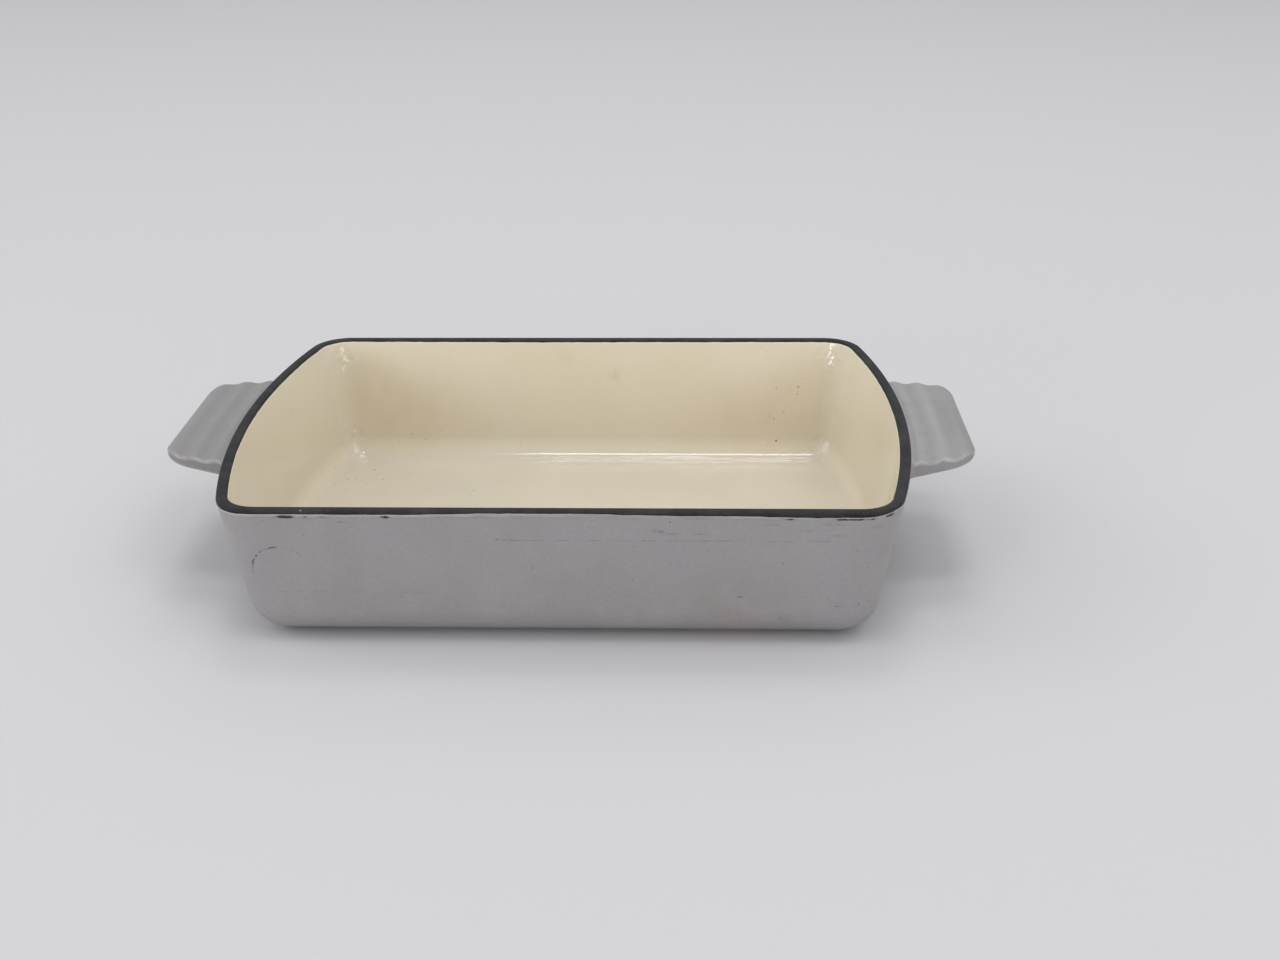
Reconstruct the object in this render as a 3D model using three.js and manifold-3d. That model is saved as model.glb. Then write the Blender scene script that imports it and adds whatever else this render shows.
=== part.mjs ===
// Enamelled cast-iron roasting pan: a drafted tub with bowed short ends, a dark flat rim
// and two ribbed tab handles cast in one with it.
// Millimetres, +Z up. The origin is the middle of the base, on the surface that the pan stands on.
// +X runs along the long sides, through both handles.

import * as THREE from 'three';
import { mergeVertices } from 'three/addons/utils/BufferGeometryUtils.js';
import Module from 'manifold-3d';

const wasm = await Module();
wasm.setup();

// Tub, over the finished enamel
const rimLength = 298;
const rimWidth = 206;
const height = 65;
const wallThickness = 5;
const floorThickness = 4.5;
const draft = 11.2;
const endBow = 10.3;
const rimCornerRadius = 18.7;
const baseCornerRadius = 12;
const baseFillet = 20;
const footCornerRadius = 5;
const floorFillet = 14;
const floorCornerRadius = 5;
const rimEdgeRadius = 1.2;

// A rounded edge takes at most this share of the thickness that it rounds
const edgeShare = 0.45;

// Tab handles, cast in one with the tub
const handleReach = 26;
const handleRootWidth = 97.5;
const handleTipWidth = 84;
const handleTipCorner = 11;
const handleDrop = 2.7;
const handleRise = 1.1;
const handleRootThickness = 7.4;
const handleTipThickness = 4.6;
const handleEdgeRadius = 1.4;
const ridgeCount = 3;
const ridgePitch = 9.3;
const ridgeDepth = 1;
const firstRidge = 3.2;

// Enamel coats
const enamel = 0.5;
const rimCoatLap = 0.1;

// Facets. The handle's span has an even count, so that each of its sections has points on the pan's long axis
const endSteps = 5;
const cornerSteps = 5;
const sideSteps = 1;
const filletSteps = 5;
const edgeSteps = 3;
const ridgeSteps = 6;
const handleSpanSteps = 4;
const handleEdgeSteps = 2;

const lerp = THREE.MathUtils.lerp;

// Draft: the wall leans in by this angle, and its inset from the rim outline grows towards the base
const lean = Math.atan2(draft, height);
const outerInset = (z) => draft * (1 - z / height);
const innerInset = (z) => outerInset(z) + wallThickness;

// The short ends are arcs about fixed centres, so every level's end is concentric with the rim's
const cornerSpan = rimWidth / 2 - rimCornerRadius;
const endArcRadius = (cornerSpan ** 2 + endBow ** 2) / (2 * endBow) + rimCornerRadius;
const endArcCentre = rimLength / 2 - endArcRadius;

// One level of the tub: a closed ring at an inset from the rim outline, anticlockwise seen from above
function planRing({ inset, z, radius }) {
  const halfWidth = rimWidth / 2 - inset;
  const endRadius = endArcRadius - inset;
  const cornerY = halfWidth - radius;
  const cornerX = endArcCentre + Math.sqrt((endRadius - radius) ** 2 - cornerY ** 2);
  const turn = Math.atan2(cornerY, cornerX - endArcCentre);
  const end = new THREE.EllipseCurve(endArcCentre, 0, endRadius, endRadius, 0, turn);
  const corner = new THREE.EllipseCurve(cornerX, cornerY, radius, radius, turn, Math.PI / 2);
  const side = new THREE.LineCurve(new THREE.Vector2(cornerX, halfWidth), new THREE.Vector2(0, halfWidth));
  const quarter = [
    ...end.getPoints(endSteps),
    ...corner.getPoints(cornerSteps).slice(1),
    ...side.getPoints(sideSteps).slice(1),
  ];
  const back = quarter.slice(0, -1).reverse();
  const half = [...quarter, ...back.map((p) => new THREE.Vector2(-p.x, p.y))];
  const front = half.slice(1, -1).reverse();
  const ring = [...half, ...front.map((p) => new THREE.Vector2(p.x, -p.y))];
  return ring.map((p) => new THREE.Vector3(p.x, p.y, z));
}

// A profile point is a level's inset, height and corner radius, with the finished surface's outward normal
const wallCornerRadius = (z) => lerp(baseCornerRadius, rimCornerRadius, z / height);

function wallPoint(inset, z, normal) {
  return { inset, z, normal, radius: wallCornerRadius(z) - (inset - outerInset(z)) };
}

// Fillet between a wall and a flat: the corner radius runs evenly from the wall's to the flat's
function filletPoints(fillet, flatZ, insetAt, flatCornerRadius, facing) {
  const centreZ = flatZ + fillet;
  const centreInset = insetAt(centreZ) + fillet / Math.cos(lean);
  const wallZ = centreZ - fillet * Math.sin(lean);
  const wallRadius = wallCornerRadius(wallZ) - (insetAt(wallZ) - outerInset(wallZ));
  const points = [];
  for (let step = 0; step <= filletSteps; step++) {
    const angle = (Math.PI / 2 - lean) * (step / filletSteps);
    const across = Math.sin(angle);
    const down = Math.cos(angle);
    points.push({
      inset: centreInset - fillet * across,
      z: centreZ - fillet * down,
      radius: lerp(flatCornerRadius, wallRadius, across / Math.cos(lean)),
      normal: new THREE.Vector2(-across, -down).multiplyScalar(facing),
    });
  }
  return points;
}

// Rounded edge of the rim: side -1 is the outer edge, side 1 the inner one
function rimEdgePoints(side) {
  const edge = Math.min(rimEdgeRadius, edgeShare * wallThickness);
  const centreZ = height - edge;
  const insetAt = side < 0 ? outerInset : innerInset;
  const centreInset = insetAt(centreZ) - (side * edge) / Math.cos(lean);
  const points = [];
  for (let step = 0; step <= edgeSteps; step++) {
    const angle = lerp(side * lean, Math.PI / 2, step / edgeSteps);
    const normal = new THREE.Vector2(side * Math.cos(angle), Math.sin(angle));
    points.push(wallPoint(centreInset + edge * normal.x, centreZ + edge * normal.y, normal));
  }
  return points;
}

// Finished surface, from the edge of the flat base up the outside, over the rim and down to the floor
const outerEdge = rimEdgePoints(-1);
const innerEdge = rimEdgePoints(1).reverse();
const outerLapZ = outerEdge[0].z - rimCoatLap;
const innerLapZ = innerEdge[edgeSteps].z - rimCoatLap;
const outerLap = wallPoint(outerInset(outerLapZ), outerLapZ, outerEdge[0].normal);
const innerLap = wallPoint(innerInset(innerLapZ), innerLapZ, innerEdge[edgeSteps].normal);
const outerProfile = [...filletPoints(baseFillet, 0, outerInset, footCornerRadius, 1), outerLap];
const rimProfile = [outerLap, ...outerEdge, ...innerEdge, innerLap];
const floorCurve = filletPoints(floorFillet, floorThickness, innerInset, floorCornerRadius, -1);
const innerProfile = [innerLap, ...floorCurve.reverse()];
const baseProfile = [outerProfile[0]];

// Rings of a stretch of the profile, on the finished surface or on the iron below the enamel
function rings(profile, depth) {
  return profile.map(({ inset, z, radius, normal }) => {
    const shift = -normal.x * depth;
    return planRing({ inset: inset + shift, z: z - normal.y * depth, radius: radius - shift });
  });
}

const finished = (profile) => rings(profile, 0);
const iron = (profile) => rings(profile, enamel);

// Skin over rings that all have the same number of points, closed by a cap at each end or joined end to end
function loft(sections, capped) {
  const size = sections[0].length;
  const vertices = sections.flat();
  const triangles = [];
  const quads = capped ? sections.length - 1 : sections.length;
  for (let k = 0; k < quads; k++) {
    for (let j = 0; j < size; j++) {
      const next = (k + 1) % sections.length;
      const [a, b] = [k * size + j, k * size + ((j + 1) % size)];
      const [d, c] = [next * size + j, next * size + ((j + 1) % size)];
      const splitAC = vertices[a].distanceTo(vertices[c]) <= vertices[b].distanceTo(vertices[d]);
      triangles.push(...(splitAC ? [a, b, c, a, c, d] : [a, b, d, b, c, d]));
    }
  }
  if (capped) {
    const last = (sections.length - 1) * size;
    vertices.push(middleOf(sections[0]), middleOf(sections.at(-1)));
    const [firstCentre, lastCentre] = [vertices.length - 2, vertices.length - 1];
    for (let j = 0; j < size; j++) {
      const next = (j + 1) % size;
      triangles.push(firstCentre, next, j, lastCentre, last + j, last + next);
    }
  }
  const geometry = new THREE.BufferGeometry().setFromPoints(vertices);
  geometry.setIndex(triangles);
  return geometry;
}

// Every section is symmetric about the pan's long axis and crosses it twice: its middle is halfway between
function middleOf(section) {
  const [one, other] = section.filter((point) => point.y === 0);
  return one.clone().lerp(other, 0.5);
}

// Handle

// Distances along it run out from the rim's end. It starts in the middle of the iron that its root covers
const handleTop = height - handleDrop;
const handleUnderside = handleTop - handleRootThickness;
const rootDistance = -(outerInset(handleUnderside) + innerInset(handleTop)) / 2;

// Heights at a share of the way from the wall to the tip
const crestHeight = (share) => handleTop + handleRise * share;
const thicknessAt = (share) => lerp(handleRootThickness, handleTipThickness, share);

function ridgeDip(distance) {
  const turns = (distance - firstRidge) / ridgePitch;
  const beyond = turns < -0.5 || turns > ridgeCount - 0.5;
  return beyond ? ridgeDepth : (ridgeDepth / 2) * (1 - Math.cos(2 * Math.PI * turns));
}

// How far a quarter-round of this radius has fallen away, close to the end that it runs out to
function roundFall(radius, fromEnd) {
  const run = Math.max(0, radius - fromEnd);
  return radius - Math.sqrt(Math.max(0, radius ** 2 - run ** 2));
}

// One cross-section: a rounded slot across the handle, anticlockwise seen from the tip
function handleSection(distance, skin) {
  const length = handleReach - skin;
  const share = distance / handleReach;
  const fromTip = length - distance;
  const nose = handleEdgeRadius - skin;
  const noseFall = roundFall(nose, fromTip);
  const cornerFall = roundFall(handleTipCorner - skin, fromTip);
  const halfWidth = lerp(handleRootWidth, handleTipWidth, share) / 2 - skin - cornerFall;
  const top = crestHeight(share) - ridgeDip(distance) - skin - noseFall;
  const bottom = crestHeight(share) - thicknessAt(share) + skin + noseFall;
  const edge = Math.min(nose, edgeShare * (top - bottom));
  const outline = [];
  const corners = [
    [1, bottom + edge, -Math.PI / 2],
    [1, top - edge, 0],
    [-1, top - edge, Math.PI / 2],
    [-1, bottom + edge, Math.PI],
  ];
  corners.forEach(([side, z, from], index) => {
    const round = new THREE.EllipseCurve(side * (halfWidth - edge), z, edge, edge, from, from + Math.PI / 2);
    outline.push(...round.getPoints(handleEdgeSteps));
    const spans = index % 2 === 1;
    for (let step = 1; spans && step < handleSpanSteps; step++) {
      const y = lerp(side, -side, step / handleSpanSteps) * (halfWidth - edge);
      outline.push(new THREE.Vector2(y, side > 0 ? top : bottom));
    }
  });
  const bow = 1 - share;
  return outline.map(({ x: y, y: z }) => {
    const x = rimLength / 2 + distance - (bow * y ** 2) / (2 * endArcRadius);
    return new THREE.Vector3(x, y, z);
  });
}

// Sections from inside the wall to the tip, closer together where the nose rounds off
function handleGeometry(skin) {
  const length = handleReach - skin;
  const nose = handleEdgeRadius - skin;
  const noseStart = length - nose;
  const stepLength = ridgePitch / ridgeSteps;
  const steps = Math.round(noseStart / stepLength);
  const stations = [rootDistance];
  for (let step = 0; step <= steps; step++) stations.push((noseStart * step) / steps);
  for (let step = 1; step <= handleEdgeSteps; step++) {
    stations.push(noseStart + nose * Math.sin((Math.PI / 2) * (step / handleEdgeSteps)));
  }
  return loft(stations.map((distance) => handleSection(distance, skin)), true);
}

// Solids

function solid(geometry) {
  const merged = mergeVertices(geometry);
  const vertProperties = new Float32Array(merged.attributes.position.array);
  const triVerts = new Uint32Array(merged.index.array);
  return new wasm.Manifold(new wasm.Mesh({ numProp: 3, vertProperties, triVerts }));
}

function handlePair(skin) {
  const right = handleGeometry(skin);
  const left = right.clone().rotateZ(Math.PI);
  return solid(right).add(solid(left));
}

const tubProfile = [...outerProfile, ...rimProfile.slice(1), ...innerProfile.slice(1)];
const tub = solid(loft(iron(tubProfile), true));
const casting = tub.add(handlePair(enamel));

const rimCoat = solid(loft([...finished(rimProfile), ...iron(rimProfile).reverse()], false));

// Between its two edges the wall's coat reaches past the iron's surface, and the casting then cuts it back
const coatBackDepth = 2 * enamel;
const wallCoatBack = [
  ...iron([outerProfile[0]]),
  ...rings(outerProfile.slice(1, -1), coatBackDepth),
  ...iron([outerProfile.at(-1)]),
];
const wallCoat = solid(loft([...finished(outerProfile), ...wallCoatBack.reverse()], false));
const outerCoat = wallCoat.add(handlePair(0)).subtract(casting).subtract(rimCoat);
const baseCoat = solid(loft([...finished(baseProfile), ...iron(baseProfile)], true));
const liningCoat = solid(loft([...iron(innerProfile).reverse(), ...finished(innerProfile)], true));

// Scene graph

function piece(name, body, look) {
  const { vertProperties, triVerts } = body.getMesh();
  const geometry = new THREE.BufferGeometry();
  geometry.setAttribute('position', new THREE.BufferAttribute(vertProperties, 3));
  geometry.setIndex(new THREE.BufferAttribute(triVerts, 1));
  geometry.computeVertexNormals();
  const mesh = new THREE.Mesh(geometry, new THREE.MeshStandardMaterial(look));
  mesh.name = name;
  return mesh;
}

const castIron = { color: 0x3b3a39, roughness: 0.75, metalness: 0.8 };
const greyEnamel = { color: 0x9b999b, roughness: 0.45, metalness: 0 };
const creamEnamel = { color: 0xe6d9ba, roughness: 0.15, metalness: 0 };
const charcoalEnamel = { color: 0x36393b, roughness: 0.7, metalness: 0 };

const pan = new THREE.Group();
pan.add(
  piece('iron_casting', casting, castIron),
  piece('outer_enamel', outerCoat, greyEnamel),
  piece('base_enamel', baseCoat, greyEnamel),
  piece('inner_enamel', liningCoat, creamEnamel),
  piece('rim_enamel', rimCoat, charcoalEnamel),
);

export default pan;
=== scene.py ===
"""Enamelled cast-iron roasting pan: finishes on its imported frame, and a plain stage."""

import math
from collections import namedtuple

import bpy
import numpy as np
from bpy.props import FloatProperty, FloatVectorProperty, IntProperty, PointerProperty
from mathutils import Matrix, Vector


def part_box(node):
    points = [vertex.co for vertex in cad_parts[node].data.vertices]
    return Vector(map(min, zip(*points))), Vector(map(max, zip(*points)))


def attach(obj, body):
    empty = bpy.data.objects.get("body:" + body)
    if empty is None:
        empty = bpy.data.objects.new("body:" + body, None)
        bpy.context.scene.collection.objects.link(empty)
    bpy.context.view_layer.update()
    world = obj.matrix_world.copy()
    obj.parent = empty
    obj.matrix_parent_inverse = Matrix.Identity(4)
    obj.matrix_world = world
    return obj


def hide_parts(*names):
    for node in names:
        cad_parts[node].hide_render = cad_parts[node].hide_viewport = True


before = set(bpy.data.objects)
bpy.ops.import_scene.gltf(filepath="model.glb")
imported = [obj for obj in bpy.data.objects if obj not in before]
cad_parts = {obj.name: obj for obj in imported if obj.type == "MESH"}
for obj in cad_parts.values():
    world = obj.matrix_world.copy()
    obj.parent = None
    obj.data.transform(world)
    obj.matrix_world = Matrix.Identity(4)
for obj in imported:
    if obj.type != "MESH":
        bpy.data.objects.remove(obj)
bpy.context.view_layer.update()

bl_info = {
    "name": "Roasting Pan",
    "version": (1, 0, 0),
    "blender": (4, 5, 0),
    "location": "View3D > Sidebar > Roasting Pan",
    "description": "Dresses an enamelled cast-iron roasting pan on its packed frame",
    "category": "Add Mesh",
}

MM = 0.001
BODY = "root"

# Kinds of node that the trees and materials use most
MATH = "ShaderNodeMath"
VECTOR_MATH = "ShaderNodeVectorMath"
MAP_RANGE = "ShaderNodeMapRange"
NOISE = "ShaderNodeTexNoise"
BUMP = "ShaderNodeBump"

# Frame sizes that the defaults follow
PAN_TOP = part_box("rim_enamel")[1].z
HANDLE_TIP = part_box("outer_enamel")[1].x
RIM_LENGTH = 298 * MM


def linear(code):
    """sRGB hex colour as linear red, green and blue."""
    shares = [int(code[start:start + 2], 16) / 255 for start in (0, 2, 4)]
    return tuple(v / 12.92 if v <= 0.04045 else ((v + 0.055) / 1.055) ** 2.4 for v in shares)


def opaque(colour):
    """Colour with full alpha, for a shader's socket."""
    return (*colour[:3], 1.0)


def size(name, about, metres):
    """Property for a length."""
    return FloatProperty(name=name, description=about, default=metres, unit="LENGTH", precision=5)


def tint(name, about, code):
    """Property for a colour, from its sRGB hex code."""
    return FloatVectorProperty(name=name, description=about, default=linear(code), subtype="COLOR", size=3)


# Properties


class PanSizes(bpy.types.PropertyGroup):
    """Sizes of the tub over the finished enamel"""

    rim_length: size("Rim length", "Over the bowed short ends", RIM_LENGTH)
    rim_width: size("Rim width", "Over the long sides", 206 * MM)
    height: size("Height", "From the base to the top of the rim", PAN_TOP)
    wall: size("Wall", "Wall thickness, measured level", 5 * MM)
    floor: size("Floor", "Height of the floor above the surface below", 4.5 * MM)
    draft: size("Draft", "How far a wall leans in over the full height", 11.2 * MM)
    end_bow: size("End bow", "How far a short end bulges between its corners", 10.3 * MM)
    rim_corner: size("Rim corner", "Outer corner radius at the rim", 18.7 * MM)
    base_corner: size("Base corner", "Outer corner radius that the wall has at the base", 12 * MM)
    base_fillet: size("Base fillet", "Radius between wall and base", 20 * MM)
    foot_corner: size("Foot corner", "Corner radius of the flat base", 5 * MM)
    floor_fillet: size("Floor fillet", "Radius between inner wall and floor", 14 * MM)
    floor_corner: size("Floor corner", "Corner radius of the flat floor", 5 * MM)


class HandleSizes(bpy.types.PropertyGroup):
    """Sizes of a tab handle and of the ribs on top of it"""

    reach: size("Reach", "From the rim's end to the tip", HANDLE_TIP - RIM_LENGTH / 2)
    root_width: size("Root width", "Width at the wall", 97.5 * MM)
    tip_width: size("Tip width", "Width at the tip, before its corners are rounded", 84 * MM)
    tip_corner: size("Tip corner", "Corner radius at the tip, seen from above", 11 * MM)
    drop: size("Drop", "How far the first crest lies below the rim", 2.7 * MM)
    rise: size("Rise", "How far the top climbs from the wall to the tip", 1.1 * MM)
    root_thickness: size("Root thickness", "Thickness at the wall", 7.4 * MM)
    tip_thickness: size("Tip thickness", "Thickness at the tip", 4.6 * MM)
    edge: size("Edge", "Radius of the handle's edges", 1.4 * MM)
    top_fillet: size("Top fillet", "Radius between the wall and the top", 1.2 * MM)
    lower_fillet: size("Lower fillet", "Radius between the wall and the underside", 2.5 * MM)
    ribs: IntProperty(name="Ribs", description="Crests across the top", default=3, min=1)
    rib_pitch: size("Rib pitch", "From crest to crest", 9.3 * MM)
    rib_depth: size("Rib depth", "Depth of the grooves", 1 * MM)
    first_rib: size("First rib", "From the rim's end to the first crest", 3.2 * MM)


class CoatSizes(bpy.types.PropertyGroup):
    """Sizes of the enamel coats"""

    thickness: size("Thickness", "Thickness of a coat", 0.5 * MM)
    grey_gap: size("Grey gap", "How far the grey ends below the top", 1.5 * MM)
    cream_gap: size("Cream gap", "How far the cream ends below the top", 1 * MM)
    band: size("Band", "Height of the rim band, down to where the other coats lap it", 4 * MM)
    step: size("Step", "How far the rim band lies below the other coats", 0.12 * MM)
    rim_edge: size("Rim edge", "Radius of the rim's two edges", 1.2 * MM)
    lip: size("Lip", "How far the grey coat swells out along its upper edge", 0.14 * MM)
    lip_height: size("Lip height", "Height of that swelling", 1.1 * MM)
    grey_swing: size("Grey swing", "Swing of the grey coat's hand-wiped edge", 0.8 * MM)
    cream_swing: size("Cream swing", "Swing of the cream coat's hand-wiped edge", 0.5 * MM)
    swing_length: size("Swing length", "Length of those swings", 110 * MM)
    rag: size("Rag", "Fine unevenness of both edges", 0.6 * MM)
    rag_length: size("Rag length", "Length of that unevenness", 4.5 * MM)
    ripple: size("Ripple", "Height of the ripples in the fired glaze", 0.12 * MM)
    ripple_length: size("Ripple length", "Length of the ripples", 28 * MM)
    seed: IntProperty(name="Seed", description="Picks where swings and ripples fall", default=3)


class PanColours(bpy.types.PropertyGroup):
    """Colours of the enamels, the iron and the floor"""

    grey: tint("Grey enamel", "Outside of the tub and the handles", "979496")
    # Also used for painted shade on the handles and in their grooves
    deep_grey: tint("Deep grey", "Clouds in the grey", "858587")
    # Used as a painted sheen: the handles' up-facing tops lighter and cooler
    cool_grey: tint("Cool grey", "Handles polished by use", "9B9D9F")
    # Also used for painted shadow along the crease below the grey's lip
    warm_grey: tint("Warm grey", "Grime on the grey", "8A8078")
    stained: tint("Stained grey", "Rust and fat that ran over the grey", "86806A")
    # Also used for painted highlights on ridges, edges and the grey's lip
    worn_grey: tint("Worn grey", "Edges worn pale and flakes round a chip", "BDB9B8")
    cream: tint("Cream enamel", "Lining", "DFD6C4")
    # Also used for painted shade in the lining's back corners
    yellowed: tint("Yellowed cream", "Cream baked in the corners", "C0AD7C")
    # Also a painted reflection: the floor's greyer cream stands in for the bright room mirrored in the
    # glaze
    milky_and_reflection: tint("Milky cream", "Floor that cutlery and scouring have dulled", "C9C3B5")
    burnt: tint("Burnt brown", "Baked-on specks and smudges", "5A4630")
    charcoal: tint("Charcoal enamel", "Rim band", "1C1B20")
    rust: tint("Rust", "Iron bared by a chip", "3A2A20")
    scuffed: tint("Scuffed grey", "Dark metal rubbed off onto the grey", "55545B")
    iron: tint("Cast iron", "Iron under the enamel", "4A4541")
    floor: tint("Floor", "Plain studio floor", "CCCBCE")


class PanSettings(bpy.types.PropertyGroup):
    """All of the pan's settings"""

    sizes: PointerProperty(type=PanSizes)
    handle: PointerProperty(type=HandleSizes)
    coats: PointerProperty(type=CoatSizes)
    colours: PointerProperty(type=PanColours)


# Shape of the tub: rings at an inset from the rim outline, level by level

Level = namedtuple("Level", "inset z corner")

# A ring's points: places across the handle in metres, then shares of the end, the corner and the side
Columns = namedtuple("Columns", "handle end corner side")


def steps(count):
    """Even shares from just past 0 up to 1."""
    return np.linspace(0, 1, count + 1)[1:]


def mix(low, high, share):
    """What lies this share of the way from low to high."""
    return low + (high - low) * share


class PanShape:
    """The tub's finished surfaces, worked out from its sizes."""

    def __init__(self, sizes):
        self.sizes = sizes
        self.lean = math.atan2(sizes.draft, sizes.height)
        corner_span = sizes.rim_width / 2 - sizes.rim_corner
        bow_radius = (corner_span ** 2 + sizes.end_bow ** 2) / (2 * sizes.end_bow)
        self.end_radius = bow_radius + sizes.rim_corner
        self.end_centre = sizes.rim_length / 2 - self.end_radius

    def outer_inset(self, z):
        """How far the outer wall lies inside the rim's outline at this height."""
        return self.sizes.draft * (1 - z / self.sizes.height)

    def inner_inset(self, z):
        """The same for the inner wall."""
        return self.outer_inset(z) + self.sizes.wall

    def level(self, inset, z):
        """A level of the wall: further in than the outside, its corners are tighter by as much."""
        corner = mix(self.sizes.base_corner, self.sizes.rim_corner, z / self.sizes.height)
        return Level(inset, z, corner - (inset - self.outer_inset(z)))

    def fillet_levels(self, radius, flat_z, inset_at, flat_corner, count):
        """Levels from a flat up to the wall. The corner radius grows evenly as they widen."""
        centre_z = flat_z + radius
        centre_inset = inset_at(centre_z) + radius / math.cos(self.lean)
        wall_z = centre_z - radius * math.sin(self.lean)
        wall_corner = self.level(inset_at(wall_z), wall_z).corner
        levels = []
        for angle in np.linspace(0, math.pi / 2 - self.lean, count + 1):
            corner = mix(flat_corner, wall_corner, math.sin(angle) / math.cos(self.lean))
            inset = centre_inset - radius * math.sin(angle)
            levels.append(Level(inset, centre_z - radius * math.cos(angle), corner))
        return levels

    def foot_levels(self, count):
        """Levels of the fillet between the flat base and the outer wall."""
        sizes = self.sizes
        return self.fillet_levels(sizes.base_fillet, 0, self.outer_inset, sizes.foot_corner, count)

    def floor_levels(self, count):
        """Levels of the fillet between the flat floor and the inner wall."""
        sizes = self.sizes
        corner = sizes.floor_corner
        return self.fillet_levels(sizes.floor_fillet, sizes.floor, self.inner_inset, corner, count)

    def ring(self, level, columns):
        """One level's closed outline, anticlockwise seen from above, from the middle of the +X end."""
        half_width = self.sizes.rim_width / 2 - level.inset
        end_radius = self.end_radius - level.inset
        corner_y = half_width - level.corner
        corner_x = self.end_centre + math.sqrt((end_radius - level.corner) ** 2 - corner_y ** 2)
        turn = math.atan2(corner_y, corner_x - self.end_centre)
        past_handle = mix(columns.handle[-1], end_radius * math.sin(turn), columns.end)
        ys = np.concatenate([columns.handle, past_handle])
        end = np.column_stack([self.end_centre + np.sqrt(end_radius ** 2 - ys ** 2), ys])
        angles = mix(turn, math.pi / 2, columns.corner)
        corner = np.column_stack([np.cos(angles), np.sin(angles)]) * level.corner + (corner_x, corner_y)
        side = np.column_stack([corner_x * (1 - columns.side), np.full(len(columns.side), half_width)])
        quarter = np.vstack([end, corner, side])
        half = np.vstack([quarter, quarter[-2::-1] * (-1, 1)])
        loop = np.vstack([half, half[-2:0:-1] * (1, -1)])
        return np.column_stack([loop, np.full(len(loop), level.z)])


def plain_columns(end, corner, side):
    """Columns with no handle to line up with."""
    return Columns(np.array([0.0]), steps(end), steps(corner), steps(side))


def loft_faces(rows, columns):
    """Quads between rings that follow each other, facing out where the rings climb."""
    faces = []
    for row in range(rows - 1):
        low, high = row * columns, (row + 1) * columns
        for column in range(columns):
            ahead = (column + 1) % columns
            faces.append((low + column, low + ahead, high + ahead, high + column))
    return faces


def capped(rings, count):
    """Surface over rings that goes on from the last one to its middle."""
    last = rings[-1]
    shares = np.linspace(0, 1, count + 2)[1:-1]
    rings = rings + [mix(last, last.mean(axis=0), share) for share in shares]
    columns = len(last)
    start = (len(rings) - 1) * columns
    faces = loft_faces(len(rings), columns) + [tuple(range(start, start + columns))]
    return np.vstack(rings), faces


# Shape of a handle: the tub's end and a flat tab, joined by a rounded fillet


def rounded(one, other, radius):
    """Distance to where two distances are both negative, with its edge rounded."""
    past = np.hypot(np.maximum(one + radius, 0), np.maximum(other + radius, 0))
    return np.minimum(np.maximum(one, other) + radius, 0) + past - radius


def round_fall(radius, from_end):
    """How far a quarter-round has fallen away, this close to the end that it runs out to."""
    run = max(0, radius - from_end)
    return radius - math.sqrt(max(0, radius ** 2 - run ** 2))


class HandleShape:
    """The +X handle, before its ribs, as a distance to its surface that points can be drawn onto."""

    def __init__(self, pan, handle):
        self.pan = pan
        self.handle = handle
        self.end_x = pan.sizes.rim_length / 2
        self.top = pan.sizes.height - handle.drop
        self.underside = self.top - handle.root_thickness

    def crest(self, share):
        """Height of the crests, this share of the way from the wall to the tip."""
        return self.top + self.handle.rise * share

    def thickness(self, share):
        """The tab's thickness there."""
        return mix(self.handle.root_thickness, self.handle.tip_thickness, share)

    def half_width(self, share):
        """Half the tab's width there."""
        return mix(self.handle.root_width, self.handle.tip_width, share) / 2

    def along(self, x, y):
        """How far out a point lies from the rim's end, on a handle that straightens towards its tip."""
        sag = y ** 2 / (2 * self.pan.end_radius)
        return (x - self.end_x + sag) / (1 + sag / self.handle.reach)

    def section(self, distance, ys, across):
        """Grid of points over the tab's section, this far from the rim's end."""
        handle = self.handle
        share = distance / handle.reach
        from_tip = handle.reach - distance
        nose = round_fall(handle.edge, from_tip)
        half_width = self.half_width(share) - round_fall(handle.tip_corner, from_tip)
        top = self.crest(share) - nose
        bottom = self.crest(share) - self.thickness(share) + nose
        y, z = np.meshgrid(ys * half_width, mix(bottom, top, across), indexing="ij")
        sag = y ** 2 / (2 * self.pan.end_radius)
        return np.stack([self.end_x + distance - (1 - share) * sag, y, z], axis=-1)

    def distance(self, points):
        """Signed distance from the tub's end and the tab, with a fillet where they meet."""
        x, y, z = points.T
        pan, handle = self.pan, self.handle
        radial = np.hypot(x - pan.end_centre, y) - pan.end_radius + pan.outer_inset(z)
        wall = radial * math.cos(pan.lean)
        out = self.along(x, y)
        share = out / handle.reach
        plan = rounded(np.abs(y) - self.half_width(share), out - handle.reach, handle.tip_corner)
        half = self.thickness(share) / 2
        middle = self.crest(share) - half
        tab = rounded(plan, np.abs(z - middle) - half, handle.edge)
        height_share = np.clip((z - middle + half) / (2 * half), 0, 1)
        fillet = mix(handle.lower_fillet, handle.top_fillet, height_share)
        near = np.hypot(np.maximum(fillet - wall, 0), np.maximum(fillet - tab, 0))
        return np.maximum(fillet, np.minimum(wall, tab)) - near

    def drawn_on(self, points, rounds=12):
        """Points moved along the distance's slope until they lie on the surface."""
        probe = 0.01 * MM
        for _ in range(rounds):
            here = self.distance(points)
            ahead = [self.distance(points + axis) for axis in np.eye(3) * probe]
            slope = (np.column_stack(ahead) - here[:, None]) / probe
            points = points - slope * (here / (slope ** 2).sum(axis=1))[:, None]
        return points


# Mesh spacing round a handle's root, outside it, inside it and out along the tab

ROOT_OUTSIDE = np.array([4.5, 3.0, 1.9, 1.1, 0.5]) * MM
ROOT_INSIDE = np.array([2.6, 1.6, 0.9, 0.4]) * MM
ROOT_ALONG = np.array([0.4, 1.0, 1.7, 2.4]) * MM
ROOT_SPACING = 1.5 * MM


def root_places(half_root):
    """Places from the root's middle to its end: evenly spaced, and closing up before the end."""
    start = half_root - ROOT_INSIDE[0]
    even = np.linspace(0, start, round(start / ROOT_SPACING) + 1)
    return np.concatenate([even, half_root - ROOT_INSIDE[1:], [half_root]])


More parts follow.
